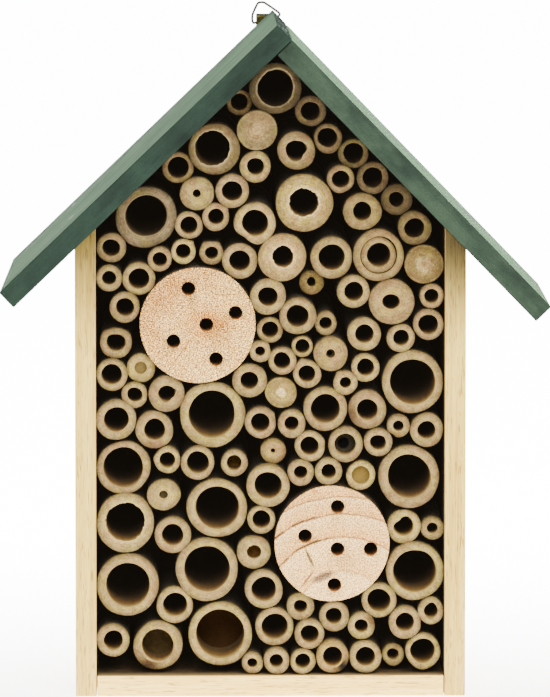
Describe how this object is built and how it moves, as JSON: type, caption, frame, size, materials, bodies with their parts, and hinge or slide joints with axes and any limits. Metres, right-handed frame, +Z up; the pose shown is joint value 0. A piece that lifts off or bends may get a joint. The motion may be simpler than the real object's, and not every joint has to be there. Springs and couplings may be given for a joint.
{
  "type": "insect hotel",
  "caption": "Gabled wooden insect hotel: an open-fronted box packed with bamboo canes and drilled logs, with a wire hanging ring at the ridge.",
  "frame": {"origin": "centre of the base board's underside, halfway through the depth of the box", "axes": "+Z up along the height, +Y out of the back panel towards the wall it hangs on, open front towards -Y, +X to the right in the front view"},
  "size_m": [0.2329, 0.1432, 0.2883],
  "materials": {
    "fir": "sawn and planed, unfinished",
    "green_stain": "matt green stain",
    "bamboo": "natural skin, sawn ends",
    "end_grain": "sawn end grain",
    "brassed_steel": "brassed sheet, slightly dull",
    "nail_steel": "bright wire nail"
  },
  "bodies": {
    "house": {"back_nail_left_high": "nail_steel", "back_nail_left_low": "nail_steel", "back_nail_right_high": "nail_steel", "back_nail_right_low": "nail_steel", "back_panel": "fir", "base_board": "fir", "base_nail_left": "nail_steel", "base_nail_right": "nail_steel", "cane_bundle_01": "bamboo", "cane_bundle_02": "bamboo", "cane_bundle_03": "bamboo", "cane_bundle_04": "bamboo", "cane_bundle_05": "bamboo", "cane_bundle_06": "bamboo", "cane_bundle_07": "bamboo", "cane_bundle_08": "bamboo", "cane_bundle_09": "bamboo", "cane_bundle_10": "bamboo", "cane_bundle_11": "bamboo", "cane_bundle_12": "bamboo", "cane_bundle_13": "bamboo", "cane_bundle_14": "bamboo", "cane_bundle_15": "bamboo", "cane_bundle_16": "bamboo", "cane_bundle_17": "bamboo", "cane_bundle_18": "bamboo", "cane_bundle_19": "bamboo", "hanger_nail": "brassed_steel", "hanger_strap": "brassed_steel", "log_lower": "end_grain", "log_upper": "end_grain", "nested_cane": "bamboo", "roof_board_left": "green_stain", "roof_board_right": "green_stain", "roof_nail_left_back": "nail_steel", "roof_nail_left_front": "nail_steel", "roof_nail_right_back": "nail_steel", "roof_nail_right_front": "nail_steel", "wall_left": "fir", "wall_right": "fir", "wide_cane_01": "bamboo", "wide_cane_02": "bamboo", "wide_cane_03": "bamboo", "wide_cane_04": "bamboo", "wide_cane_05": "bamboo", "wide_cane_06": "bamboo", "wide_cane_07": "bamboo", "wide_cane_08": "bamboo", "wide_cane_09": "bamboo", "wide_cane_10": "bamboo", "wide_cane_11": "bamboo", "wide_cane_12": "bamboo", "wide_cane_13": "bamboo", "wide_cane_14": "bamboo", "wide_cane_15": "bamboo", "wide_cane_16": "bamboo"},
    "hanger_ring": {"hanger_ring": "brassed_steel"}
  },
  "joints": [
    {"name": "ring_hinge", "type": "hinge", "parent": "house", "child": "hanger_ring", "pos_m": [0, 0.06175, 0.28], "axis": [0.9588, 0, 0.284], "range_deg": [-150, 25]}
  ]
}
